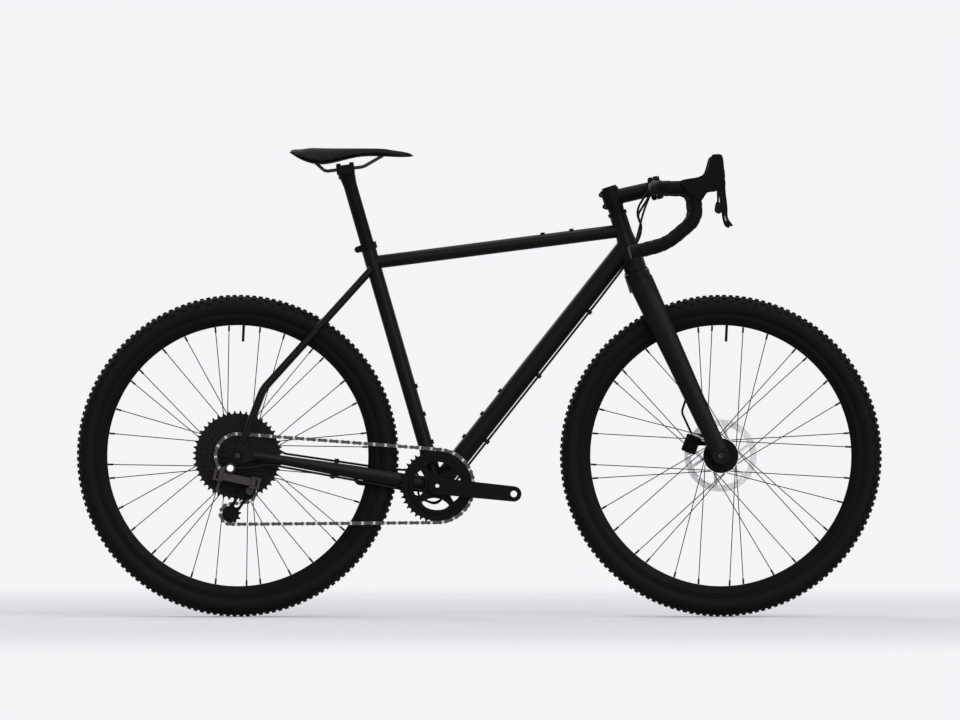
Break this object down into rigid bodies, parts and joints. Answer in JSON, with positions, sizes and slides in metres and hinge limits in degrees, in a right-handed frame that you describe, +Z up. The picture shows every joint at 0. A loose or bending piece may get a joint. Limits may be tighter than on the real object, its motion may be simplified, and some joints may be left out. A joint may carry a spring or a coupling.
{
  "type": "gravel bike",
  "caption": "Drop-bar gravel bicycle with knobbly tyres, disc brakes, single chainring and long-cage rear derailleur; steering, wheels, crank, levers, derailleur and seatpost move.",
  "frame": {"origin": "on the ground midway between the two axles, in the bike's middle plane", "axes": "+X forward, +Y to the rider's left, +Z up; the drive side is at negative Y"},
  "size_m": [1.78, 0.4948, 1.0355],
  "materials": {
    "frame_paint": "matte black paint",
    "black_metal": "black anodised",
    "fork_paint": "matte black paint",
    "axle_steel": "black oxide",
    "bolt_steel": "bright steel",
    "dark_bolts": "black oxide",
    "rotor_steel": "brushed",
    "chain_steel": "dark plated steel",
    "cassette_steel": "dark plated steel",
    "spoke_steel": "black",
    "tyre_rubber": "moulded rubber",
    "grip_rubber": "soft rubber",
    "hose_plastic": "extruded",
    "black_plastic": "moulded",
    "tape": "wrapped",
    "saddle_skin": "soft cover over foam"
  },
  "bodies": {
    "frame": {"head_tube": "frame_paint", "bottom_bracket_shell": "frame_paint", "seat_tube": "frame_paint", "down_tube": "frame_paint", "top_tube": "frame_paint", "chainstays": "frame_paint", "seatstays": "frame_paint", "rear_dropouts": "frame_paint", "derailleur_hanger": "black_metal", "rear_thru_axle": "axle_steel", "seat_clamp": "black_metal", "bearing_cups": "black_metal", "frame_bosses": "frame_paint", "frame_hoses": "hose_plastic", "rear_brake_caliper": "black_metal", "derailleur_upper_knuckle": "black_metal", "derailleur_mount_bolt": "bolt_steel", "chain": "chain_steel", "steering_loops": "hose_plastic"},
    "steering": {"fork": "fork_paint", "front_thru_axle": "axle_steel", "headset_stack": "black_metal", "stem": "black_metal", "stem_faceplate": "black_metal", "cockpit_bolts": "dark_bolts", "handlebar": "black_metal", "bar_tape": "tape", "bar_end_plugs": "black_plastic", "lever_hoods": "grip_rubber", "front_brake_caliper": "black_metal", "front_brake_hose": "hose_plastic"},
    "front_wheel": {"front_tyre": "tyre_rubber", "front_rim": "black_metal", "front_spokes": "spoke_steel", "front_hub": "black_metal", "front_rotor": "rotor_steel"},
    "rear_wheel": {"rear_tyre": "tyre_rubber", "rear_rim": "black_metal", "rear_spokes": "spoke_steel", "rear_hub": "black_metal", "rear_rotor": "rotor_steel"},
    "cassette": {"cassette": "cassette_steel"},
    "crank": {"crank_spindle": "axle_steel", "drive_crank_arm": "black_metal", "left_crank_arm": "black_metal", "chainring": "black_metal"},
    "outer_link": {"derailleur_outer_link": "black_metal"},
    "inner_link": {"derailleur_inner_link": "black_metal"},
    "lower_knuckle": {"derailleur_lower_knuckle": "black_metal"},
    "cage": {"derailleur_cage": "black_metal"},
    "guide_pulley": {"guide_pulley": "black_plastic"},
    "tension_pulley": {"tension_pulley": "black_plastic"},
    "right_lever": {"brake_lever_right": "black_metal"},
    "left_lever": {"brake_lever_left": "black_metal"},
    "paddle": {"shift_paddle": "black_plastic"},
    "seat": {"seatpost": "black_metal", "saddle_clamp": "black_metal", "saddle_shell": "black_plastic", "saddle_cover": "saddle_skin", "saddle_rails": "axle_steel"}
  },
  "joints": [
    {"name": "steering", "type": "hinge", "parent": "frame", "child": "steering", "pos_m": [0.3461, 0, 0.766], "axis": [-0.309, 0, 0.9511], "range_deg": [-60, 60], "deforming": ["steering_loops"]},
    {"name": "front_wheel_spin", "type": "hinge", "parent": "steering", "child": "front_wheel", "pos_m": [0.534, 0, 0.356], "axis": [0, 1, 0], "continuous": true},
    {"name": "rear_wheel_spin", "type": "hinge", "parent": "frame", "child": "rear_wheel", "pos_m": [-0.534, 0, 0.356], "axis": [0, 1, 0], "continuous": true},
    {"name": "crank_spin", "type": "hinge", "parent": "frame", "child": "crank", "pos_m": [-0.093, 0, 0.2894], "axis": [0, 1, 0], "continuous": true, "deforming": ["chain"]},
    {"name": "cassette_spin", "type": "hinge", "parent": "frame", "child": "cassette", "pos_m": [-0.534, 0, 0.356], "axis": [0, 1, 0], "continuous": true},
    {"name": "shift_link", "type": "hinge", "parent": "frame", "child": "outer_link", "pos_m": [-0.571, -0.088, 0.313], "axis": [0.2169, 0, 0.9762], "range_deg": [-17, 0]},
    {"name": "shift_inner_link", "type": "hinge", "parent": "frame", "child": "inner_link", "pos_m": [-0.571, -0.076, 0.313], "axis": [0.2169, 0, 0.9762], "range_deg": [-17, 0]},
    {"name": "shift_knuckle", "type": "hinge", "parent": "outer_link", "child": "lower_knuckle", "pos_m": [-0.499, -0.075, 0.297], "axis": [0.2169, 0, 0.9762], "range_deg": [0, 17]},
    {"name": "cage_swing", "type": "hinge", "parent": "lower_knuckle", "child": "cage", "pos_m": [-0.506, -0.05, 0.279], "axis": [0, -1, 0], "range_deg": [0, 40], "stiffness_Nm_per_rad": 0.6, "springref_deg": -20.05},
    {"name": "guide_pulley_spin", "type": "hinge", "parent": "cage", "child": "guide_pulley", "pos_m": [-0.516, -0.0445, 0.2757], "axis": [0, 1, 0], "continuous": true},
    {"name": "tension_pulley_spin", "type": "hinge", "parent": "cage", "child": "tension_pulley", "pos_m": [-0.54958, -0.0445, 0.22729], "axis": [0, 1, 0], "continuous": true},
    {"name": "right_brake_lever", "type": "hinge", "parent": "steering", "child": "right_lever", "pos_m": [0.5271, -0.207, 0.96447], "axis": [0, 1, 0], "range_deg": [0, 20], "stiffness_Nm_per_rad": 1.2, "springref_deg": -5.73},
    {"name": "left_brake_lever", "type": "hinge", "parent": "steering", "child": "left_lever", "pos_m": [0.5271, 0.207, 0.96447], "axis": [0, 1, 0], "range_deg": [0, 20], "stiffness_Nm_per_rad": 1.2, "springref_deg": -5.73},
    {"name": "shift_paddle_push", "type": "hinge", "parent": "right_lever", "child": "paddle", "pos_m": [0.5241, -0.207, 0.94797], "axis": [1, 0, 0], "range_deg": [0, 15], "stiffness_Nm_per_rad": 0.1, "springref_deg": -2.86},
    {"name": "seatpost_slide", "type": "slide", "parent": "frame", "child": "seat", "axis": [-0.2783, 0, 0.9605], "range_m": [-0.1, 0.08]}
  ],
  "couplings": [
    {"joint": "cassette_spin", "follows": "crank_spin", "ratio": 1.6667},
    {"joint": "guide_pulley_spin", "follows": "crank_spin", "ratio": -3.6364},
    {"joint": "tension_pulley_spin", "follows": "crank_spin", "ratio": 3.6364},
    {"joint": "shift_inner_link", "follows": "shift_link", "ratio": 1},
    {"joint": "shift_knuckle", "follows": "shift_link", "ratio": -1}
  ]
}
